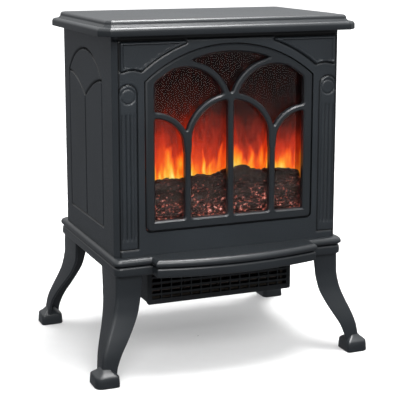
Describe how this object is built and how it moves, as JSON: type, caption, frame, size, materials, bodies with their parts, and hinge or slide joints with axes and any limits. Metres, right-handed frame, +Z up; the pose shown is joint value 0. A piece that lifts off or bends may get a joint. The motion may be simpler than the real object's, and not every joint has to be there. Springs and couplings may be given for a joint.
{
  "type": "electric fireplace",
  "caption": "Free-standing electric stove: slab top, panelled body, arched tracery window over a log and flame effect, bowed base with fan heater outlet, and four cabriole legs.",
  "frame": {"origin": "centre of the bounding box on the floor", "axes": "+X to the stove's right seen from the front, the window faces -Y, +Z up"},
  "size_m": [0.442, 0.36, 0.52],
  "materials": {
    "casing": "satin charcoal powder coat",
    "moulding": "satin charcoal moulded plastic",
    "dark_plastic": "fine matt black",
    "glass": "clear tempered sheet",
    "zinc_sheet": "zinc-plated sheet",
    "dark_sheet": "matt black",
    "zinc_steel": "zinc-plated",
    "black_steel": "blackened",
    "switch_black": "glossy moulded",
    "board_green": "circuit board",
    "mica": "pale mica sheet",
    "element_wire": "heat-stained coil",
    "wheel_aluminium": "plain mill finish",
    "shaft_steel": "ground",
    "flame_screen": "translucent, lit from behind with flames",
    "log_resin": "painted charred bark with embers",
    "reflector": "bright foil"
  },
  "bodies": {
    "stove": {"top_cover": "moulding", "left_side_panel": "casing", "right_side_panel": "casing", "back_panel": "casing", "front_fascia": "casing", "window_frame": "moulding", "base_frame": "moulding", "leg_front_left": "moulding", "leg_front_right": "moulding", "leg_back_left": "moulding", "leg_back_right": "moulding", "outlet_grille": "dark_plastic", "window_glass": "glass", "base_tray": "zinc_sheet", "heater_housing": "dark_sheet", "heater_screws": "zinc_steel", "leg_screws": "zinc_steel", "back_panel_screws": "black_steel", "frame_screws": "zinc_steel", "glass_clips": "zinc_steel", "control_panel": "dark_plastic", "switch_housings": "dark_plastic", "control_board": "board_green", "cable_gland": "dark_plastic", "element_frame": "mica", "heating_element": "element_wire", "blower_bearing": "dark_plastic", "blower_motor": "zinc_steel", "thermal_cutout": "mica", "firebox_floor": "dark_sheet", "firebox_liner_left": "dark_sheet", "firebox_liner_right": "dark_sheet", "firebox_back": "dark_sheet", "firebox_top": "dark_sheet", "flame_screen": "flame_screen", "log_bed": "log_resin", "led_board": "board_green", "spindle_bearing": "dark_plastic", "spindle_motor": "zinc_steel"},
    "blower_rotor": {"blower_wheel": "wheel_aluminium", "blower_shaft": "shaft_steel"},
    "flame_rotor": {"flame_spindle": "shaft_steel", "spindle_reflectors": "reflector"},
    "rocker_flame": {"rocker_flame": "switch_black"},
    "rocker_low_heat": {"rocker_low_heat": "switch_black"},
    "rocker_high_heat": {"rocker_high_heat": "switch_black"}
  },
  "joints": [
    {"name": "blower_spin", "type": "hinge", "parent": "stove", "child": "blower_rotor", "pos_m": [0, -0.022, 0.133], "axis": [1, 0, 0], "continuous": true},
    {"name": "flame_spin", "type": "hinge", "parent": "stove", "child": "flame_rotor", "pos_m": [0, -0.022, 0.262], "axis": [1, 0, 0], "continuous": true},
    {"name": "flame_switch", "type": "hinge", "parent": "stove", "child": "rocker_flame", "pos_m": [-0.118, 0.126, 0.45], "axis": [1, 0, 0], "range_deg": [-18, 0]},
    {"name": "low_heat_switch", "type": "hinge", "parent": "stove", "child": "rocker_low_heat", "pos_m": [-0.118, 0.126, 0.417], "axis": [1, 0, 0], "range_deg": [-18, 0]},
    {"name": "high_heat_switch", "type": "hinge", "parent": "stove", "child": "rocker_high_heat", "pos_m": [-0.118, 0.126, 0.384], "axis": [1, 0, 0], "range_deg": [-18, 0]}
  ]
}
